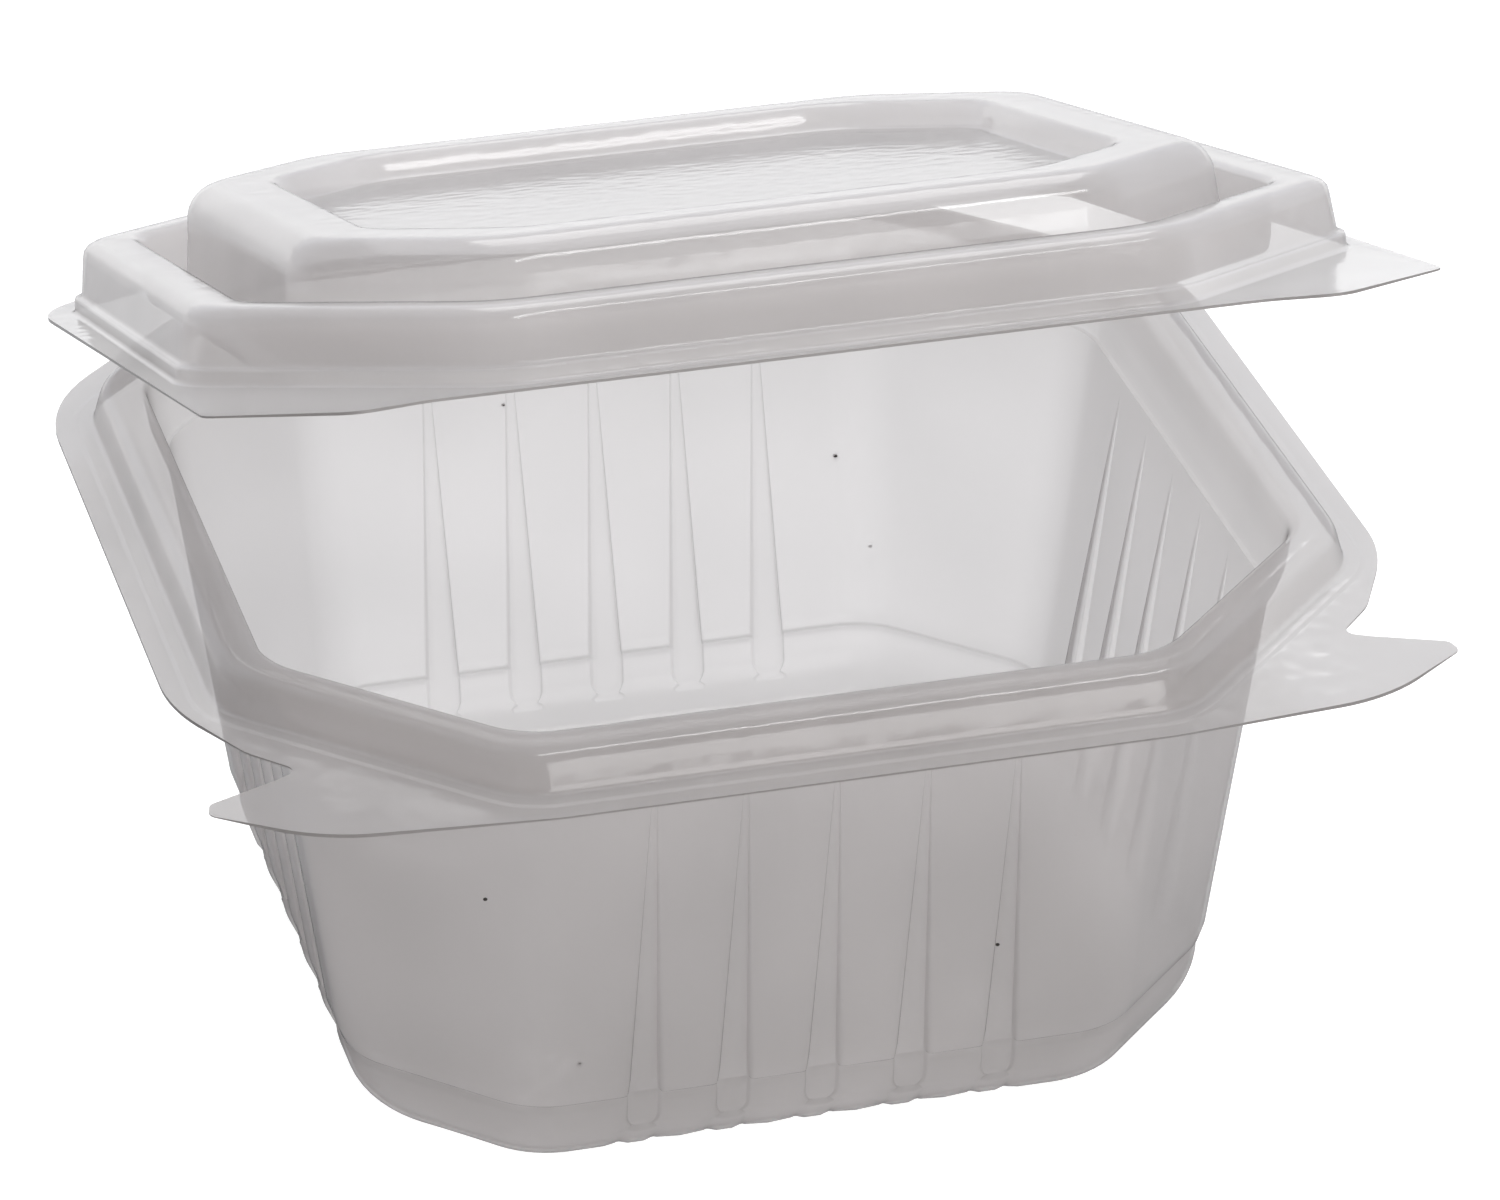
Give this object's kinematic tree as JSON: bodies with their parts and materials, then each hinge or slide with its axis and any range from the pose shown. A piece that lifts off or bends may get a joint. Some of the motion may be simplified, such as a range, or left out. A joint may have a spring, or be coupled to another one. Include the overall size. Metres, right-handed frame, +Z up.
{
  "type": "plastic clamshell pack",
  "caption": "Octagonal thin-walled tub with fluted sides and a hinged snap lid, formed from one milky plastic sheet.",
  "frame": {"origin": "centre of the tub's flat base, on the surface it stands on", "axes": "+Z up, +X to the pack's right, +Y to the back, where the lid is hinged; the opening tabs are at the front, -Y"},
  "size_m": [0.1508, 0.1546, 0.1208],
  "materials": {
    "milky_sheet": "milky translucent polypropylene sheet with a soft gloss"
  },
  "bodies": {
    "tub": {"tub": "milky_sheet"},
    "lid": {"lid": "milky_sheet"}
  },
  "joints": [
    {"name": "lid_hinge", "type": "hinge", "parent": "tub", "child": "lid", "pos_m": [0, 0.079, 0.06365], "axis": [-1, 0, 0], "range_deg": [-18.85, 161.15]}
  ]
}
